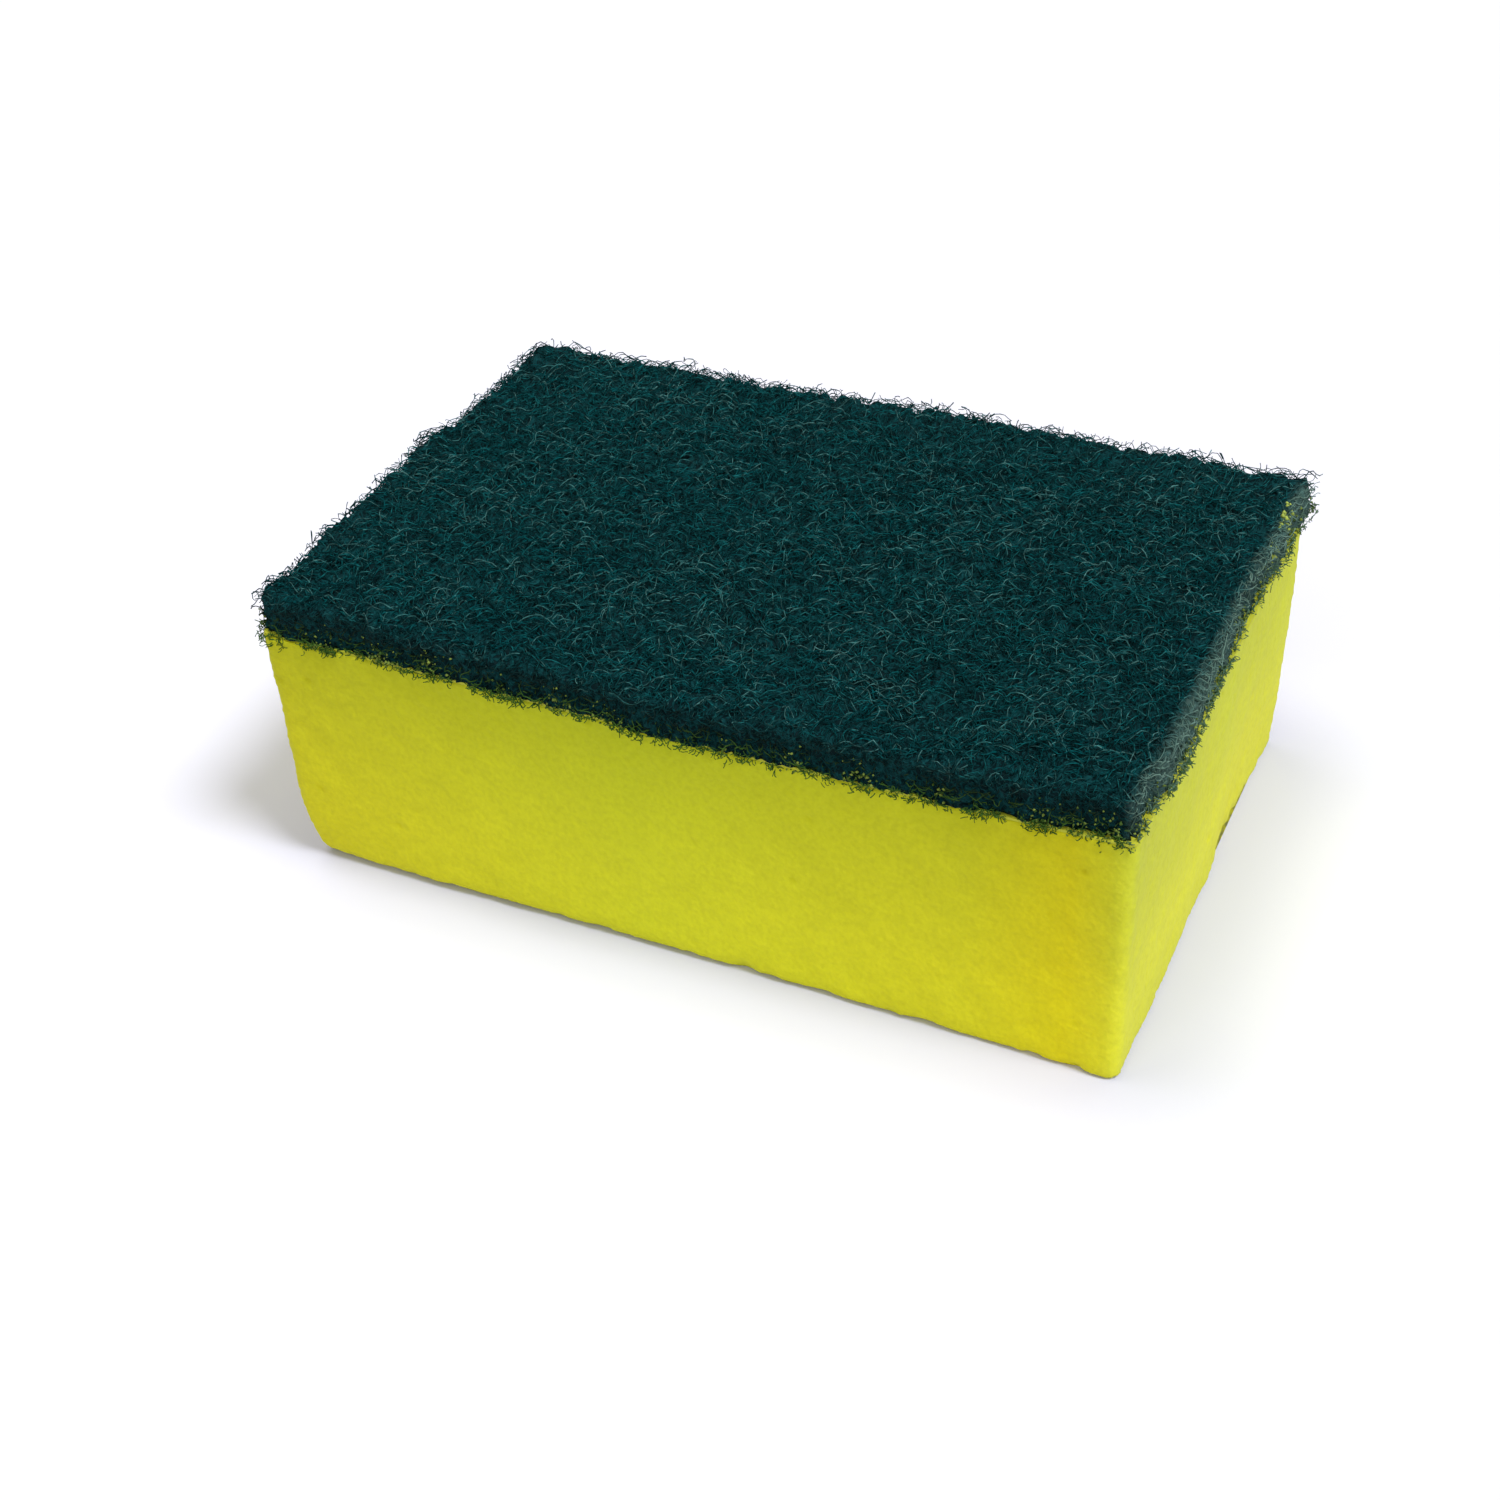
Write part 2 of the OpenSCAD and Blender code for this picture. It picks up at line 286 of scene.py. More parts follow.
# Golden and lighter towards the right end, palest on its cut face: the lightening is a painted highlight.
yellow_with_painted_highlight = add(tree, "ShaderNodeValToRGB", {"Fac": along.outputs["Result"]})
yellow_with_painted_highlight.color_ramp.elements[0].color = srgb("#eee624")
yellow_with_painted_highlight.color_ramp.elements[1].color = srgb("#f3f848")
for position, code in ((0.45, "#f0f22c"), (0.82, "#f6f128"), (0.93, "#ffee1a"), (0.965, "#faf22c")):
    yellow_with_painted_highlight.color_ramp.elements.new(position).color = srgb(code)
pit = add(tree, "ShaderNodeMapRange", {
    "Value": grain.outputs["Fac"], "From Min": 0.3, "From Max": 0.6, "To Min": 0.92, "To Max": 1.0})
# Painted shade: the yellow turns duller and greenish from low on the sides up to the glued joint.
painted_shade_share = add(tree, "ShaderNodeMapRange", {
    "Value": axes.outputs["Z"], "From Min": 10 * MM, "From Max": 36 * MM, "To Min": 0.0, "To Max": 1.0})
painted_joint_shade = add(tree, "ShaderNodeMix", {"Factor": painted_shade_share.outputs["Result"]}, data_type="RGBA")
painted_joint_shade.inputs["A"].default_value = srgb("#ffffff")
painted_joint_shade.inputs["B"].default_value = srgb("#e0e7ea")
cloudy = add(tree, "ShaderNodeMapRange", {
    "Value": blotch.outputs["Fac"], "From Min": 0.35, "From Max": 0.65, "To Min": 0.97, "To Max": 1.02})
level = add(tree, "ShaderNodeMath", {
    0: pit.outputs["Result"], 1: cloudy.outputs["Result"]}, operation="MULTIPLY")
yellow_with_painted_shade = add(tree, "ShaderNodeMix", {"Factor": 1.0}, data_type="RGBA", blend_type="MULTIPLY")
tree.links.new(yellow_with_painted_highlight.outputs["Color"], yellow_with_painted_shade.inputs["A"])
tree.links.new(painted_joint_shade.outputs["Result"], yellow_with_painted_shade.inputs["B"])
shade = add(tree, "ShaderNodeMix", {"Factor": 1.0}, data_type="RGBA", blend_type="MULTIPLY")
tree.links.new(yellow_with_painted_shade.outputs["Result"], shade.inputs["A"])
tree.links.new(level.outputs[0], shade.inputs["B"])
cell_bump = add(tree, "ShaderNodeBump", {
    "Height": cells.outputs["Distance"], "Strength": 0.25, "Distance": SMALL_BUMP})
foam_bump = add(tree, "ShaderNodeBump", {
    "Height": grain.outputs["Fac"], "Strength": 0.25, "Distance": SMALL_BUMP,
    "Normal": cell_bump.outputs["Normal"]})
foam_shader = add(tree, "ShaderNodeBsdfPrincipled", {
    "Base Color": shade.outputs["Result"],
    "Roughness": 0.95,
    "IOR": 1.45,
    "Specular IOR Level": 0.2,
    "Sheen Weight": 0.06,
    "Sheen Roughness": 0.5,
    "Subsurface Weight": 0.35,
    "Subsurface Radius": (1.0, 0.9, 0.2),
    "Subsurface Scale": 3 * MM,
    "Normal": foam_bump.outputs["Normal"],
})
tree.links.new(foam_shader.outputs["BSDF"], foam_out.inputs["Surface"])
foam.data.materials.append(foam_material)
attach(foam, "root")
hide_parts("foam_block")


# Glue film: the dried laminating adhesive between foam and pad, rolled on before both were cut.
# Only its rim shows, as a thin greenish yellow line under the fibres.
STREAK_SIZE = 1.11 * MM
glue_material, glue_out = new_material("laminating_adhesive_dried")
tree = glue_material.node_tree
place = add(tree, "ShaderNodeTexCoord").outputs["Object"]
streak = add(tree, "ShaderNodeTexNoise", {"Vector": place, "Scale": 1 / STREAK_SIZE, "Detail": 3.0})
tone = add(tree, "ShaderNodeMix", {"Factor": streak.outputs["Fac"]}, data_type="RGBA")
tone.inputs["A"].default_value = srgb("#b4ba30")
tone.inputs["B"].default_value = srgb("#e4e442")
glue_shader = add(tree, "ShaderNodeBsdfPrincipled", {
    "Base Color": tone.outputs["Result"], "Roughness": 0.6, "IOR": 1.48, "Specular IOR Level": 0.3})
tree.links.new(glue_shader.outputs["BSDF"], glue_out.inputs["Surface"])
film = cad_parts["glue_film"]
film.data.materials.clear()
film.data.materials.append(glue_material)


# Scouring pad: a nonwoven web of crimped nylon fibres, bonded by a dark teal resin that holds the abrasive.
# It was cut with the foam, so its four faces are torn ends and loops, and light shows through its rim.
PAD_THICKNESS = 5.45 * MM
PAD_OVERHANG = 0.2 * MM
PAD_CORNER_R = 2.0 * MM
EDGE_WANDER = 0.6 * MM
EDGE_WANDER_LENGTH = 95 * MM
END_WANDER_RATE = 1.7
EDGE_WANDER_START = 5.8 * MM
WANDER_REACH = 8 * MM
RAGGED = 0.22 * MM
EDGE_WEAR = 0.3 * MM
EDGE_WEAR_WIDTH = 1.7 * MM
OPENING_SIZE = 4.5 * MM
OPENING_DEPTH = 1.1 * MM
# How far each whole cut face stands out: the left and front ones, then the right and back ones.
LEFT_AND_FRONT_OUT = np.array([0.8, 0.0]) * MM
RIGHT_AND_BACK_OUT = np.array([-0.1, 1.2]) * MM
# Places on the cut edge, as x, y, width and how far it stands out there, all in mm. Below zero it
# stands back.
EDGE_STANDS_OUT = [
    (-53, 36, 4, 1.2), (-38, 36, 5, 0.2), (-22, 36, 8, -1.4), (-6, 36, 6, 0.6), (4, 36, 7, 1.5),
    (16, 36, 7, 1.6), (26, 36, 6, 1.8), (37, 36, 6, 1.5), (43, 36, 3, 0.8), (46, 36, 2, -0.9),
    (53, 36, 4, 1.7), (-55, 27, 6, 1.3), (-55, 18, 5, 0.4), (-55, 7, 4, 2.0), (-55, -19, 4, 0.2),
    (-55, -25, 4, -0.6), (-48, -36, 9, 0.9), (24, -36, 8, 0.5), (44, -36, 6, 0.5),
    (55, -31, 3, -0.8), (55, -9, 5, -0.8), (55, 11, 5, -0.9), (55, 17, 4, 0.7), (55, 31, 4, -0.8)]
pad_half = np.array([foam_half_x + PAD_OVERHANG, foam_half_y + PAD_OVERHANG])


def wandered(points):
    """Moves points of the pad in or out with its cut edge, which wanders and is ragged."""
    round_edge = points[..., 0] + END_WANDER_RATE * points[..., 1] - EDGE_WANDER_START
    turn = 2 * math.pi * round_edge / EDGE_WANDER_LENGTH
    swing = EDGE_WANDER * (np.sin(turn) + np.cos(3 * turn) / 2)
    swing += RAGGED * slow_noise(points[..., :2], 8 * MM, 8)
    swing += RAGGED / 2 * slow_noise(points[..., :2], 3 * MM, 9)
    for x, y, width, out in EDGE_STANDS_OUT:
        away = np.hypot(points[..., 0] - x * MM, points[..., 1] - y * MM)
        swing += out * MM * np.exp(-(away / (width * MM)) ** 2)
    moved = points.copy()
    for k in range(2):
        inside = pad_half[k] - np.abs(points[..., k])
        cut = swing + np.where(points[..., k] > 0, RIGHT_AND_BACK_OUT[k], LEFT_AND_FRONT_OUT[k])
        moved[..., k] += np.sign(points[..., k]) * cut * np.clip(1 - inside / WANDER_REACH, 0, 1)
    return moved


def past_edge(x, y):
    """Distance outside the pad's even outline, below zero inside it."""
    dx = np.abs(x) - (pad_half[0] - PAD_CORNER_R)
    dy = np.abs(y) - (pad_half[1] - PAD_CORNER_R)
    outer = np.hypot(np.maximum(dx, 0), np.maximum(dy, 0))
    return outer + np.minimum(np.maximum(dx, dy), 0) - PAD_CORNER_R


def web_sink(x, y):
    """How far the web's top lies below its crests, at the worn rim and in the openings of the web."""
    rim = EDGE_WEAR * np.clip(1 + past_edge(x, y) / EDGE_WEAR_WIDTH, 0, 1) ** 2
    places = np.stack([x, y], -1)
    opening = OPENING_DEPTH * np.clip(slow_noise(places, OPENING_SIZE, 12) - 0.8, 0, 1)
    return rim + opening


# The dense middle of the web, too deep for single fibres to show: a dark lumpy mat, short of the rim.
CORE_STEP = 0.52 * MM
CORE_FRONT_RIGHT_INSET = 0.3 * MM
CORE_BACK_LEFT_INSET = 0.5 * MM
CORE_SINK = 0.75 * MM
CORE_CLEAR = 0.02 * MM
core_low = np.array([-pad_half[0] + CORE_BACK_LEFT_INSET, -pad_half[1] + CORE_FRONT_RIGHT_INSET])
core_high = np.array([pad_half[0] - CORE_FRONT_RIGHT_INSET, pad_half[1] - CORE_BACK_LEFT_INSET])
core_n = ((core_high - core_low) / CORE_STEP).astype(int)
core_columns = np.linspace(core_low[0], core_high[0], core_n[0] + 1)
core_rows = np.linspace(core_low[1], core_high[1], core_n[1] + 1)
core_x, core_y = np.meshgrid(core_columns, core_rows)
flat = np.column_stack([core_x.ravel(), core_y.ravel()])
core_middle = (core_low + core_high) / 2
core_half = (core_high - core_low) / 2
beyond = np.abs(flat - core_middle) - (core_half - PAD_CORNER_R)
corner = beyond.min(1) > 0
round_in = beyond[corner] * (beyond[corner].max(1) / np.linalg.norm(beyond[corner], axis=1))[:, None]
flat[corner] = core_middle + np.sign(flat[corner] - core_middle) * (core_half - PAD_CORNER_R + round_in)
core_random = np.random.default_rng(21)
lumps = 0.2 * slow_noise(flat, 2.6 * MM, 5) + 0.16 * slow_noise(flat, 1.5 * MM, 6)
lumps += core_random.uniform(-0.22, 0.22, len(flat))
core_top = film_top(flat[:, 0], flat[:, 1]) + PAD_THICKNESS - CORE_SINK + lumps * MM
core_top -= 1.3 * web_sink(flat[:, 0], flat[:, 1])
core_points = [np.column_stack([flat, core_top])]
row = core_n[0] + 1
cell = (np.arange(core_n[1])[:, None] * row + np.arange(core_n[0])[None, :]).ravel()
core_quads = [np.stack([cell, cell + 1, cell + row + 1, cell + row], -1)]
rim = np.concatenate([
    np.arange(core_n[0]),
    core_n[0] + row * np.arange(core_n[1]),
    core_n[1] * row + core_n[0] - np.arange(core_n[0]),
    row * (core_n[1] - np.arange(core_n[1])),
])
rim_top = core_points[0][rim]
rim_foot = film_top(rim_top[:, 0], rim_top[:, 1]) + CORE_CLEAR
core_levels = 8
previous = rim
for level in range(1, core_levels + 1):
    share = level / core_levels
    ring = rim_top.copy()
    ring[:, 2] = rim_top[:, 2] * (1 - share) + rim_foot * share
    ring[:, :2] *= 1 + core_random.uniform(-0.3, 0.3, (len(rim), 1)) * MM / pad_half
    core_points.append(ring)
    index = len(flat) + (level - 1) * len(rim) + np.arange(len(rim))
    core_quads.append(np.stack([previous, index, np.roll(index, -1), np.roll(previous, -1)], -1))
    previous = index
hub = np.full(len(rim), len(flat) + core_levels * len(rim))
core_points.append(np.array([[0, 0, film_top(np.zeros(1), np.zeros(1))[0] + CORE_CLEAR]]))
under = np.stack([np.roll(previous, -1), previous, hub], -1)
core_points = wandered(np.concatenate(core_points))
core = new_piece("scouring_pad_core", core_points, np.concatenate(core_quads), under)

# Single fibres lie over that mat and stand out from its cut faces, as thin tubes that crimp and dive.
# Their cut ends carry painted shade, with painted yellow light from the foam near the joint, and those
# by the right face painted light from the lamp on the right.
FIBRE_RADIUS = 0.058 * MM
LONGEST_END = 1.3 * MM
PAINTED_END_HEIGHT = 5.0 * MM
PAINTED_SHADE_REACH = 1.2 * MM
RIGHT_LIGHT_REACH = 1.5 * MM


def crimped_paths(draw, start, heading, pitch, points, step, curl, bob):
    """Paths that leave their starts along heading and pitch, and curl and bob as crimped fibres do."""
    count = len(start)
    along = np.arange(points)[None, :] * step

    def wave(low, high):
        length = draw.uniform(low, high, (count, 1)) * step
        return np.sin(2 * math.pi * along / length + draw.uniform(0, 2 * math.pi, (count, 1)))

    turn = heading[:, None] + curl * draw.uniform(0.5, 1.3, (count, 1)) * wave(8, 15)
    turn += 0.6 * curl * wave(4.4, 6.4) + draw.uniform(-0.13, 0.13, (count, 1)) * along / step
    tilt = pitch[:, None] + bob * wave(4.2, 8)
    stride = np.stack([np.cos(turn) * np.cos(tilt), np.sin(turn) * np.cos(tilt), np.sin(tilt)], -1) * step
    paths = np.cumsum(stride, axis=1)
    return start[:, None, :] + paths - paths[:, :1]


def pressed_in(paths, reach, width):
    """Bends paths that cross the outline back along it, so that they end up as loops at the rim."""
    for k in range(2):
        limit = pad_half[k] + reach
        over = np.abs(paths[..., k]) - limit
        bent = np.sign(paths[..., k]) * (limit + width * np.tanh(over / width))
        paths[..., k] = np.where(over > 0, bent, paths[..., k])
    return paths


def fibre_piece(name, paths, inside, draw):
    """One piece of three-sided tubes along paths, each kept up to its first point that isn't inside."""
    ends = ~inside
    keep = np.where(ends.any(1), ends.argmax(1), inside.shape[1])
    paths = paths[keep >= 3]
    keep = keep[keep >= 3]
    near_face = np.clip(1 + past_edge(paths[..., 0], paths[..., 1]) / PAINTED_SHADE_REACH, 0, 1)
    near_right = np.clip(1 + (paths[..., 0] - pad_half[0]) / RIGHT_LIGHT_REACH, 0, 1)
    paths = wandered(paths)
    count, length = paths.shape[:2]
    ahead = np.gradient(paths, axis=1)
    ahead /= np.linalg.norm(ahead, axis=2, keepdims=True)
    side = np.cross(ahead, [0.0, 0.0, 1.0])
    side /= np.maximum(np.linalg.norm(side, axis=2, keepdims=True), 1e-9)
    lift = np.cross(side, ahead)
    radii = FIBRE_RADIUS * draw.uniform(0.8, 1.25, (count, 1)) * draw.uniform(0.75, 1.3, (count, length))
    corners = []
    for turn in (90, 210, 330):
        angle = math.radians(turn)
        corners.append(paths + radii[..., None] * (math.cos(angle) * side + math.sin(angle) * lift))
    points = np.stack(corners, 2)
    index = np.arange(count * length * 3).reshape(count, length, 3)
    used = np.arange(length)[None, :] < keep[:, None]
    joined = used[:, 1:] & used[:, :-1]
    quads = []
    for k in range(3):
        n = (k + 1) % 3
        quad = np.stack([index[:, :-1, k], index[:, :-1, n], index[:, 1:, n], index[:, 1:, k]], -1)
        quads.append(quad[joined])
    caps = np.concatenate([index[:, 0][:, [2, 1, 0]], index[np.arange(count), keep - 1]])
    kept = used.repeat(3, axis=1).reshape(count, length, 3).ravel()
    renumber = np.cumsum(kept) - 1
    piece = new_piece(name, points.reshape(-1, 3)[kept], renumber[np.concatenate(quads)], renumber[caps])
    level = paths[..., 2] - film_top(paths[..., 0], paths[..., 1])
    right_light_share = near_right * np.clip(0.4 + level / PAINTED_END_HEIGHT, 0, 1)
    # The second look is painted shade on the cut ends, with painted yellow foam light near the joint; the
    # third is painted light on the right face, more towards the top.
    looks = {
        "fibre_tone": draw.uniform(0, 1, (count, 1)).repeat(length, 1),
        "painted_cut_end_shade": np.clip(1.2 - level / PAINTED_END_HEIGHT, 0, 1) * near_face,
        "painted_right_face_light": right_light_share * draw.uniform(0.3, 1, (count, 1)),
    }
    for attribute, values in looks.items():
        made = piece.data.attributes.new(attribute, "FLOAT", "POINT")
        made.data.foreach_set("value", values[..., None].repeat(3, 2).ravel()[kept].astype(np.float32))
    return piece


TOP_PIECES = 4
TOP_FIBRES = 1960
TOP_POINTS = 13
TOP_STEP = 0.74 * MM
TOP_DEPTH = 1.0 * MM
TOP_CURL = 0.48
TOP_BOB = 0.7
pad_pieces = [core]
for layer in range(TOP_PIECES):
    draw = np.random.default_rng(31 + layer)
    start_x = draw.uniform(-pad_half[0], pad_half[0], TOP_FIBRES)
    start_y = draw.uniform(-pad_half[1], pad_half[1], TOP_FIBRES)
    start = np.column_stack([start_x, start_y, np.zeros(TOP_FIBRES)])
    heading = draw.uniform(0, 2 * math.pi, TOP_FIBRES)
    pitch = np.zeros(TOP_FIBRES)
    paths = crimped_paths(draw, start, heading, pitch, TOP_POINTS, TOP_STEP, TOP_CURL, TOP_BOB)
    half = TOP_FIBRES // 2
    paths[:half] = pressed_in(paths[:half], draw.exponential(0.3 * MM, (half, 1)), 0.4 * MM)
    depth = draw.uniform(0.0, 1.0, (TOP_FIBRES, 1)) ** 1.2 * TOP_DEPTH
    bob = 0.9 * (paths[..., 2] - paths[..., 2].mean(1, keepdims=True))
    crest = film_top(paths[..., 0], paths[..., 1]) + PAD_THICKNESS - web_sink(paths[..., 0], paths[..., 1])
    paths[..., 2] = np.minimum(crest - depth + bob, crest + 0.25 * MM)
    reach = draw.exponential(0.4 * MM, (TOP_FIBRES, 1)).clip(0, LONGEST_END)
    inside = past_edge(paths[..., 0], paths[..., 1]) < reach
    pad_pieces.append(fibre_piece(f"scouring_pad_top_fibres_{layer + 1}", paths, inside, draw))

EDGE_PIECES = 2
EDGE_FIBRES = 2800
EDGE_POINTS = 9
EDGE_STEP = 0.46 * MM
EDGE_CURL = 0.95
EDGE_BOB = 0.6
RING_POINTS = 4000
ring, ring_outward = outline(pad_half[0], pad_half[1], PAD_CORNER_R, RING_POINTS)
for layer in range(EDGE_PIECES):
    draw = np.random.default_rng(41 + layer)
    spot = ring[draw.integers(0, RING_POINTS, EDGE_FIBRES)]
    spot = spot * (1 - draw.uniform(0.0, 1.1, (EDGE_FIBRES, 1)) * MM / pad_half)
    share = draw.uniform(0.0, 0.92, EDGE_FIBRES)
    start_z = film_top(spot[:, 0], spot[:, 1]) + share * PAD_THICKNESS
    heading = draw.uniform(0, 2 * math.pi, EDGE_FIBRES)
    pitch = draw.normal(0, 0.4, EDGE_FIBRES)
    start = np.column_stack([spot, start_z])
    paths = crimped_paths(draw, start, heading, pitch, EDGE_POINTS, EDGE_STEP, EDGE_CURL, EDGE_BOB)
    half = EDGE_FIBRES // 2
    paths[:half] = pressed_in(paths[:half], draw.exponential(0.25 * MM, (half, 1)), 0.35 * MM)
    reach = draw.exponential(0.35 * MM, (EDGE_FIBRES, 1)).clip(0, LONGEST_END)
    level = paths[..., 2] - film_top(paths[..., 0], paths[..., 1])
    past = past_edge(paths[..., 0], paths[..., 1])
    inside = (past < reach) & (level > 0.08 * MM) & (level < PAD_THICKNESS)
    pad_pieces.append(fibre_piece(f"scouring_pad_edge_fibres_{layer + 1}", paths, inside, draw))

# Torn ends hang over the foam in small dense tufts. The longest and most crowded are at the front
# right corner, at the front left and a quarter of the way along the right side: these are given as
# x, y, width and how much lower they hang, all in mm.
TUFT_COUNT = 500
TUFT_FIBRES = 5
TUFT_POINTS = 4
TUFT_STEP = 0.26 * MM
TUFT_CURL = 0.8
TUFT_BOB = 0.7
TUFT_SPREAD = 4
TUFT_ROOT_HEIGHT = 0.5 * MM
MORE_TUFTS = 8
LONG_TUFTS = [
    (54.0, -35.6, 1.4, 1.2), (51.5, -35.6, 1.2, 1.0), (45, -35.6, 3, 0.4), (27, -35.6, 7, 0.5),
    (-47, -35.6, 9, 0.4), (-54.5, -35.6, 4, 1.8), (55.2, -18, 5, 0.9)]
draw = np.random.default_rng(51)
tuft = draw.integers(0, RING_POINTS, TUFT_COUNT)
ring_step = np.linalg.norm(ring[1] - ring[0])
for x, y, width, more in LONG_TUFTS:
    middle = np.linalg.norm(ring - np.array([x, y]) * MM, axis=1).argmin()
    reach = int(0.7 * width * MM / ring_step)
    tuft = np.append(tuft, (middle + draw.integers(-reach, reach + 1, MORE_TUFTS)) % RING_POINTS)
drop = draw.exponential(0.28, len(tuft)).clip(0, 0.8)
for x, y, width, more in LONG_TUFTS:
    away = np.linalg.norm(ring[tuft] - np.array([x, y]) * MM, axis=1)
    drop += more * draw.uniform(0.5, 1, len(tuft)) * np.clip(1 - (away / (width * MM)) ** 2, 0, 1)
hanging = len(tuft) * TUFT_FIBRES
pick = (tuft.repeat(TUFT_FIBRES) + draw.integers(-TUFT_SPREAD, TUFT_SPREAD + 1, hanging)) % RING_POINTS
spot = ring[pick]
clear_of_foam = draw.uniform(0.08, 0.3, (hanging, 1)) * MM
below = draw.uniform(0, 1, hanging) * (drop.repeat(TUFT_FIBRES) + 0.5) * MM
start_z = film_top(spot[:, 0], spot[:, 1]) + TUFT_ROOT_HEIGHT - below
heading = np.arctan2(ring_outward[pick, 1], ring_outward[pick, 0]) + draw.choice([-1.3, 1.3], hanging)
heading += draw.normal(0, 0.5, hanging)
start = np.column_stack([spot + ring_outward[pick] * clear_of_foam, start_z])
pitch = draw.normal(0, 0.5, hanging)
paths = crimped_paths(draw, start, heading, pitch, TUFT_POINTS, TUFT_STEP, TUFT_CURL, TUFT_BOB)
for k in range(2):
    on_side = np.abs(ring_outward[pick, k])[:, None] > 0.7
    clear = np.maximum(np.abs(paths[..., k]), pad_half[k] + clear_of_foam / 2)
    paths[..., k] = np.where(on_side, np.sign(paths[..., k]) * clear, paths[..., k])
pad_pieces.append(fibre_piece(
    "scouring_pad_hanging_fibres", paths, np.ones(paths.shape[:2], bool), draw))

# Resin-coated nylon: dark teal with hardly any gloss, since grit covers it. Each fibre took up the
# pigment a little differently, and the palest, greyish tones are painted glints. The cut ends are painted
# shade, blackish, and a dull olive near the joint as painted yellow light from the foam. On the right face
# many are painted pale, most of all near the top, as painted light from the lamp on the right.
GRIT_SIZE = 0.417 * MM
COAT_SIZE = 1.0 * MM
fibre_material, fibre_out = new_material("resin_coated_nylon_fibre")
tree = fibre_material.node_tree
own_tone = add(tree, "ShaderNodeAttribute", attribute_name="fibre_tone")
painted_cut_end_shade = add(tree, "ShaderNodeAttribute", attribute_name="painted_cut_end_shade")
painted_right_face_light = add(tree, "ShaderNodeAttribute", attribute_name="painted_right_face_light")
place = add(tree, "ShaderNodeTexCoord").outputs["Object"]
grit = add(tree, "ShaderNodeTexNoise", {
    "Vector": place, "Scale": 1 / GRIT_SIZE, "Detail": 3.0, "Roughness": 0.6})
# Each fibre's own tone, whose palest, greyish end stands for glints: painted highlights.
pigment_with_painted_glints = add(tree, "ShaderNodeValToRGB", {"Fac": own_tone.outputs["Fac"]})
pigment_with_painted_glints.color_ramp.elements[0].color = srgb("#022a2d")
pigment_with_painted_glints.color_ramp.elements[1].position = 1.0
pigment_with_painted_glints.color_ramp.elements[1].color = srgb("#4a7673")
for position, code in ((0.5, "#024a4d"), (0.8, "#17595a")):
    pigment_with_painted_glints.color_ramp.elements.new(position).color = srgb(code)
coat = add(tree, "ShaderNodeTexNoise", {"Vector": place, "Scale": 1 / COAT_SIZE, "Detail": 1.0})
speckle = add(tree, "ShaderNodeMapRange", {
    "Value": grit.outputs["Fac"], "From Min": 0.36, "From Max": 0.66, "To Min": 0.55, "To Max": 1.4})
patch = add(tree, "ShaderNodeMapRange", {
    "Value": coat.outputs["Fac"], "From Min": 0.4, "From Max": 0.6, "To Min": 0.5, "To Max": 1.35})
both = add(tree, "ShaderNodeMath", {
    0: speckle.outputs["Result"], 1: patch.outputs["Result"]}, operation="MULTIPLY")
coated = add(tree, "ShaderNodeMix", {"Factor": 1.0}, data_type="RGBA", blend_type="MULTIPLY")
tree.links.new(pigment_with_painted_glints.outputs["Color"], coated.inputs["A"])
tree.links.new(both.outputs[0], coated.inputs["B"])
# Painted shade on the cut ends: blackish, and a dull olive near the joint as painted yellow light from the
# foam.
painted_shade_cover = add(tree, "ShaderNodeMapRange", {
    "Value": painted_cut_end_shade.outputs["Fac"], "From Min": 0.0, "From Max": 0.6, "To Min": 0.0, "To Max": 1.0})
painted_foam_light_share = add(tree, "ShaderNodeMapRange", {
    "Value": painted_cut_end_shade.outputs["Fac"], "From Min": 0.55, "From Max": 1.0, "To Min": 0.0, "To Max": 1.0})
cut_end_paint = add(tree, "ShaderNodeMix", {"Factor": painted_foam_light_share.outputs["Result"]}, data_type="RGBA")
cut_end_paint.inputs["A"].default_value = srgb("#14201a")
cut_end_paint.inputs["B"].default_value = srgb("#446628")
with_painted_cut_ends = add(tree, "ShaderNodeMix", {"Factor": painted_shade_cover.outputs["Result"]}, data_type="RGBA")
tree.links.new(coated.outputs["Result"], with_painted_cut_ends.inputs["A"])
tree.links.new(cut_end_paint.outputs["Result"], with_painted_cut_ends.inputs["B"])
# Painted light from the lamp on the right, on the right face's fibres, paler towards the top.
with_painted_right_light = add(tree, "ShaderNodeMix", {"Factor": painted_right_face_light.outputs["Fac"]}, data_type="RGBA")
tree.links.new(with_painted_cut_ends.outputs["Result"], with_painted_right_light.inputs["A"])
with_painted_right_light.inputs["B"].default_value = srgb("#7c9e90")
fibre_shader = add(tree, "ShaderNodeBsdfPrincipled", {
    "Base Color": with_painted_right_light.outputs["Result"], "Roughness": 0.6, "IOR": 1.53, "Specular IOR Level": 0.05})
tree.links.new(fibre_shader.outputs["BSDF"], fibre_out.inputs["Surface"])

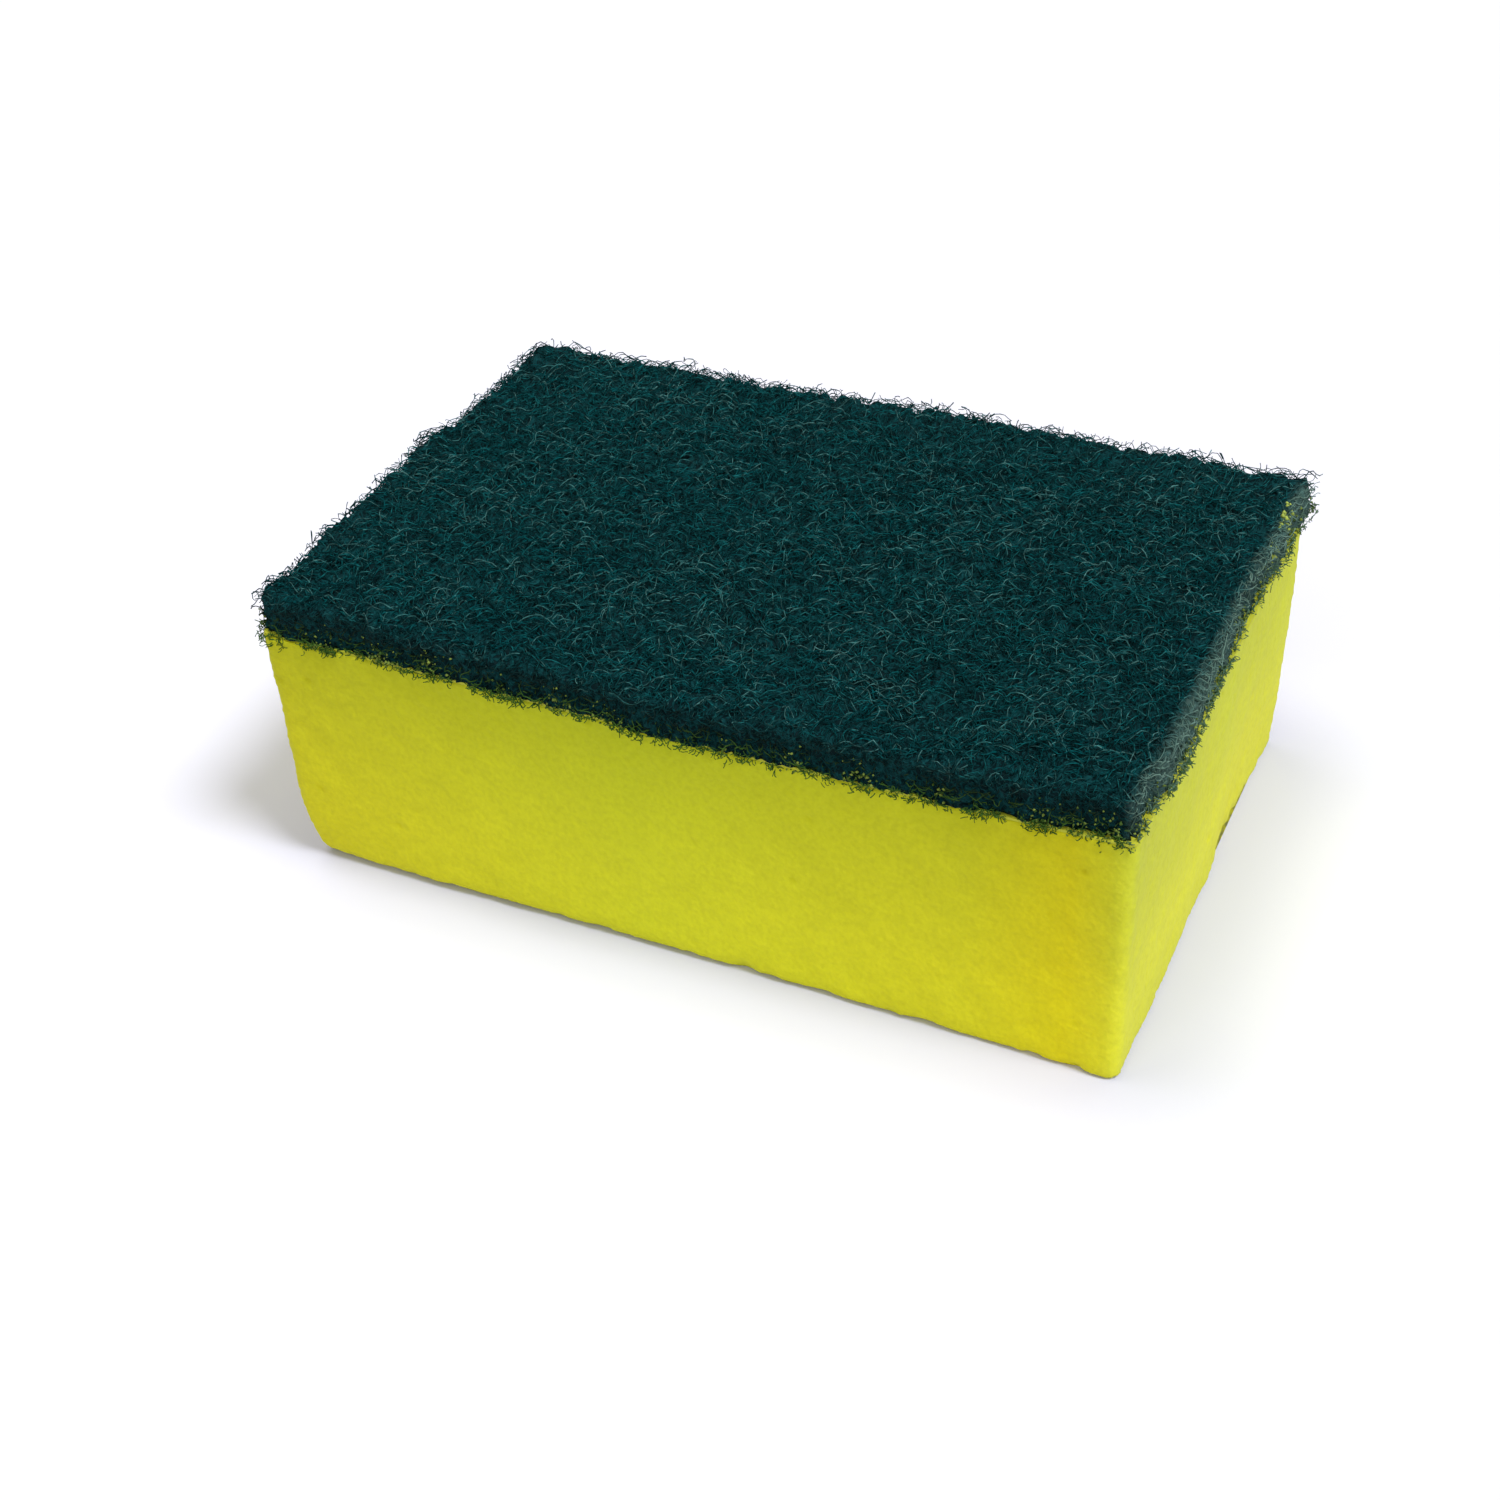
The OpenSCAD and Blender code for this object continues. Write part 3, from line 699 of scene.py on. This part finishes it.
# The same resin in the shade of the web: ridged noise, drawn out in six directions, gives the buried
# fibres as fine threads that cross. By the right face it is painted paler, as painted light from the lamp
# on the right.
THREAD_SIZE = 1.3 * MM
THREAD_DIRECTIONS = 6
core_material, core_out = new_material("resin_bonded_web_depth")
tree = core_material.node_tree
place = add(tree, "ShaderNodeTexCoord").outputs["Object"]
threads = None
for layer in range(THREAD_DIRECTIONS):
    turned = add(tree, "ShaderNodeMapping", {
        "Vector": place, "Location": (0.1 * layer, 0.2 * layer, 0.0),
        "Rotation": (0.0, 0.0, math.radians(31 * layer)), "Scale": (1.0, 0.4, 1.0)})
    cloud = add(tree, "ShaderNodeTexNoise", {
        "Vector": turned.outputs["Vector"], "Scale": 1 / THREAD_SIZE, "Detail": 1.0, "Roughness": 0.4})
    centred = add(tree, "ShaderNodeMath", {0: cloud.outputs["Fac"], 1: 0.5}, operation="SUBTRACT")
    distance = add(tree, "ShaderNodeMath", {0: centred.outputs[0]}, operation="ABSOLUTE")
    thread = add(tree, "ShaderNodeMapRange", {
        "Value": distance.outputs[0], "From Min": 0.0, "From Max": 0.04, "To Min": 1.0, "To Max": 0.0})
    if threads is None:
        threads = thread.outputs["Result"]
    else:
        threads = add(tree, "ShaderNodeMath", {0: threads, 1: thread.outputs["Result"]},
                      operation="MAXIMUM").outputs[0]
tone = add(tree, "ShaderNodeMix", {"Factor": threads}, data_type="RGBA")
tone.inputs["A"].default_value = srgb("#021d20")
tone.inputs["B"].default_value = srgb("#0d4649")
axes = add(tree, "ShaderNodeSeparateXYZ", {"Vector": place})
# Painted light from the lamp on the right, on the mat by the right face.
right_face_painted_light = add(tree, "ShaderNodeMapRange", {
    "Value": axes.outputs["X"], "From Min": 53.2 * MM, "From Max": 55.2 * MM,
    "To Min": 0.0, "To Max": 0.6})
web_tone = add(tree, "ShaderNodeMix", {"Factor": right_face_painted_light.outputs["Result"]}, data_type="RGBA")
tree.links.new(tone.outputs["Result"], web_tone.inputs["A"])
web_tone.inputs["B"].default_value = srgb("#64847a")
core_bump = add(tree, "ShaderNodeBump", {"Height": threads, "Strength": 0.8, "Distance": SMALL_BUMP})
core_shader = add(tree, "ShaderNodeBsdfPrincipled", {
    "Base Color": web_tone.outputs["Result"],
    "Roughness": 0.7,
    "IOR": 1.5,
    "Specular IOR Level": 0.08,
    "Normal": core_bump.outputs["Normal"],
})
tree.links.new(core_shader.outputs["BSDF"], core_out.inputs["Surface"])

core.data.materials.append(core_material)
for piece in pad_pieces:
    if piece is not core:
        piece.data.materials.append(fibre_material)
    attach(piece, "root")
    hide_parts("scouring_pad")


# Crumbs of glue and foam that the blade dragged into the pad's cut faces, most of them near the joint.
# At the back right, where the pad is torn, larger shreds of foam still cling to it. Their places are
# x, y, height over the film and spread, all in mm.
CRUMBS = 1500
CRUMB_HEIGHT = 1.2 * MM
CRUMB_REACH = 3.6 * MM
DIRT_SIZE = 0.667 * MM
SHREDS_EACH = 80
SHRED_PLACES = [(54.6, 26.5, 3.9, 2.2), (54.5, 21.3, 3.0, 1.8)]
crumb_shape = np.array([(1, 0, 0), (0, 1, 0), (-1, 0, 0), (0, -1, 0), (0, 0, 1), (0, 0, -1)])
crumb_faces = np.array([
    (0, 1, 4), (1, 2, 4), (2, 3, 4), (3, 0, 4), (1, 0, 5), (2, 1, 5), (3, 2, 5), (0, 3, 5)])
draw = np.random.default_rng(61)
pick = draw.integers(0, RING_POINTS, 3 * CRUMBS)
pick = pick[slow_noise(ring[pick], 7 * MM, 15) > 0.1][:CRUMBS]
crumb_z = np.minimum(draw.exponential(CRUMB_HEIGHT, len(pick)), CRUMB_REACH) - FILM_THICKNESS
places = ring[pick] + ring_outward[pick] * draw.uniform(-0.3, 0.35, (len(pick), 1)) * MM
centres = np.column_stack([places, crumb_z])
sizes = draw.uniform(0.09, 0.25, len(pick)) * MM
for x, y, z, spread in SHRED_PLACES:
    near = np.array([x, y, z]) + draw.normal(0, 1, (SHREDS_EACH, 3)) * [0.25, spread / 2, spread / 2.6]
    centres = np.concatenate([centres, near * MM])
    sizes = np.concatenate([sizes, draw.uniform(0.15, 0.4, SHREDS_EACH) * MM])
centres[:, 2] += film_top(centres[:, 0], centres[:, 1])
centres = wandered(centres)
crumb_corners = len(crumb_shape)
lumpy = crumb_shape[None] * draw.uniform(0.6, 1.3, (len(centres), crumb_corners, 1))
lumpy += draw.uniform(-0.3, 0.3, (len(centres), crumb_corners, 3))
crumb_points = centres[:, None, :] + lumpy * sizes[:, None, None]
crumb_index = np.arange(len(centres))[:, None, None] * crumb_corners + crumb_faces[None]
crumbs = new_piece("foam_crumbs_in_cut_edge", crumb_points.reshape(-1, 3), [], crumb_index.reshape(-1, 3))
# How much of the foam's yellow each crumb keeps; the rest is painted shade, most on the small crumbs.
crumb_yellow_share = np.where(np.arange(len(centres)) < len(pick), draw.uniform(0, 0.6, len(centres)), 0.9)
yellow_share_attribute = crumbs.data.attributes.new("foam_yellow_share", "FLOAT", "POINT")
yellow_share_attribute.data.foreach_set("value", crumb_yellow_share.repeat(crumb_corners).astype(np.float32))

# Glue-soaked foam: the foam's yellow, turned greenish by the glue and darker by a painted shade of the cut
# faces it sits in. The small crumbs carry the most painted shade, and the shreds keep most of their yellow.
crumb_material, crumb_out = new_material("glue_soaked_foam_crumb")
tree = crumb_material.node_tree
place = add(tree, "ShaderNodeTexCoord").outputs["Object"]
foam_yellow_share = add(tree, "ShaderNodeAttribute", attribute_name="foam_yellow_share")
dirt = add(tree, "ShaderNodeTexNoise", {"Vector": place, "Scale": 1 / DIRT_SIZE, "Detail": 2.0})
grime = add(tree, "ShaderNodeMapRange", {
    "Value": dirt.outputs["Fac"], "From Min": 0.35, "From Max": 0.65, "To Min": 0.7, "To Max": 1.1})
tone = add(tree, "ShaderNodeMix", {"Factor": foam_yellow_share.outputs["Fac"]}, data_type="RGBA")
tone.inputs["A"].default_value = srgb("#37561f")
tone.inputs["B"].default_value = srgb("#b4c65a")
grimy = add(tree, "ShaderNodeMix", {"Factor": 1.0}, data_type="RGBA", blend_type="MULTIPLY")
tree.links.new(tone.outputs["Result"], grimy.inputs["A"])
tree.links.new(grime.outputs["Result"], grimy.inputs["B"])
crumb_shader = add(tree, "ShaderNodeBsdfPrincipled", {
    "Base Color": grimy.outputs["Result"], "Roughness": 0.8, "IOR": 1.48, "Specular IOR Level": 0.2})
tree.links.new(crumb_shader.outputs["BSDF"], crumb_out.inputs["Surface"])
crumbs.data.materials.append(crumb_material)
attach(crumbs, "root")


# Floor: a plain sweep of white paper that keeps the sponge's shadow. The camera sees it a little paler
# than it lights the sponge, so that it is white where unshaded. To the camera it also carries a painted
# shade, greyer where the sponge stands close by, and a touch of blue that offsets the yellow light the
# sponge throws on it.
CONTACT_SHADE_REACH = 16 * MM
PAPER_GRAIN_SIZE = 2.5 * MM
FLOOR_HALF = 4.0
floor = new_piece("studio_floor", [
    (-FLOOR_HALF, -FLOOR_HALF, 0), (FLOOR_HALF, -FLOOR_HALF, 0),
    (FLOOR_HALF, FLOOR_HALF, 0), (-FLOOR_HALF, FLOOR_HALF, 0)], [(0, 1, 2, 3)])
floor_material, floor_out = new_material("white_paper_sweep")
tree = floor_material.node_tree
place = add(tree, "ShaderNodeTexCoord").outputs["Object"]
fibre = add(tree, "ShaderNodeTexNoise", {
    "Vector": place, "Scale": 1 / PAPER_GRAIN_SIZE, "Detail": 2.0})
tone = add(tree, "ShaderNodeMix", {"Factor": fibre.outputs["Fac"]}, data_type="RGBA")
tone.inputs["A"].default_value = srgb("#c6c6c6")
tone.inputs["B"].default_value = srgb("#cacaca")
paper = add(tree, "ShaderNodeBsdfDiffuse", {"Color": tone.outputs["Result"]})
# Painted shade: ambient occlusion turns the paper the camera sees greyer and bluer close to the sponge.
contact = add(tree, "ShaderNodeAmbientOcclusion", {"Distance": CONTACT_SHADE_REACH}, samples=2)
openness = add(tree, "ShaderNodeMapRange", {
    "Value": contact.outputs["AO"], "From Min": 0.45, "From Max": 1.0, "To Min": 0.0, "To Max": 1.0})
painted_contact_shade = add(tree, "ShaderNodeMix", {"Factor": openness.outputs["Result"]}, data_type="RGBA")
painted_contact_shade.inputs["A"].default_value = srgb("#d6d6f0")
painted_contact_shade.inputs["B"].default_value = srgb("#f4f4fd")
white_paper = add(tree, "ShaderNodeBsdfDiffuse", {"Color": painted_contact_shade.outputs["Result"]})
ray = add(tree, "ShaderNodeLightPath")
seen = add(tree, "ShaderNodeMixShader", {
    0: ray.outputs["Is Camera Ray"], 1: paper.outputs["BSDF"], 2: white_paper.outputs["BSDF"]})
tree.links.new(seen.outputs["Shader"], floor_out.inputs["Surface"])
floor.data.materials.append(floor_material)


# Light: a soft, slightly cool lamp high on the right, a weaker and warmer one high on the left, a weak
# broad one in front and an even pale room. The right one throws the darker shadow, to the left.
RIGHT_LAMP = 2.1
LEFT_LAMP = 0.75
FRONT_LAMP = 0.73
ROOM = 0.2


def sun(name, strength, colour, spread, azimuth, elevation):
    """A distant soft lamp that shines from that azimuth and elevation, in the camera's own convention."""
    lamp = bpy.data.lights.new(name, "SUN")
    lamp.energy = strength
    lamp.color = colour
    lamp.angle = math.radians(spread)
    holder = bpy.data.objects.new(name, lamp)
    bpy.context.scene.collection.objects.link(holder)
    az, el = math.radians(azimuth), math.radians(elevation)
    towards = Vector((math.sin(az) * math.cos(el), -math.cos(az) * math.cos(el), math.sin(el)))
    holder.rotation_mode = "QUATERNION"
    holder.rotation_quaternion = towards.to_track_quat("Z", "Y")


sun("lamp_right", RIGHT_LAMP, (0.97, 0.98, 1.04), 18, 79, 60)
sun("lamp_left", LEFT_LAMP, (1.03, 1.0, 0.94), 30, -94, 71)
sun("lamp_front", FRONT_LAMP, (1.0, 1.0, 0.98), 50, 5, 40)
world = bpy.data.worlds.new("studio_room")
world.use_nodes = True
tree = world.node_tree
tree.nodes.clear()
room_out = add(tree, "ShaderNodeOutputWorld")
room = add(tree, "ShaderNodeBackground", {"Color": (1, 1, 1, 1), "Strength": ROOM})
white = add(tree, "ShaderNodeBackground", {"Color": (1, 1, 1, 1), "Strength": 1.0})
ray = add(tree, "ShaderNodeLightPath")
seen = add(tree, "ShaderNodeMixShader", {
    0: ray.outputs["Is Camera Ray"], 1: room.outputs["Background"], 2: white.outputs["Background"]})
tree.links.new(seen.outputs["Shader"], room_out.inputs["Surface"])
bpy.context.scene.world = world


# Camera: fitted to the visible edges of the sponge in the photograph's 1500 x 1500 frame.
CAMERA_PLACE = Vector((98.7, -207.12, 180.35)) * MM
CAMERA_AZIMUTH = 27.134
CAMERA_ELEVATION = 36.882
CAMERA_ROLL = -3.408
FOCAL_PIXELS = 2176.0
PHOTO_PIXELS = 1500
camera_data = bpy.data.cameras.new("camera")
camera_data.sensor_width = 36.0
camera_data.sensor_height = 36.0
camera_data.lens = FOCAL_PIXELS * camera_data.sensor_width / PHOTO_PIXELS
camera_data.clip_start = 0.01
camera_data.clip_end = 50.0
camera = bpy.data.objects.new("camera", camera_data)
bpy.context.scene.collection.objects.link(camera)
az, el, roll = (math.radians(a) for a in (CAMERA_AZIMUTH, CAMERA_ELEVATION, CAMERA_ROLL))
forward = Vector((-math.sin(az) * math.cos(el), math.cos(az) * math.cos(el), -math.sin(el)))
right = forward.cross(Vector((0, 0, 1))).normalized()
up = right.cross(forward)
right_rolled = right * math.cos(roll) + up * math.sin(roll)
up_rolled = -right * math.sin(roll) + up * math.cos(roll)
camera.matrix_world = Matrix.Translation(CAMERA_PLACE) @ Matrix(
    (right_rolled, up_rolled, -forward)).transposed().to_4x4()
bpy.context.scene.camera = camera
bpy.context.scene.view_settings.view_transform = "Standard"
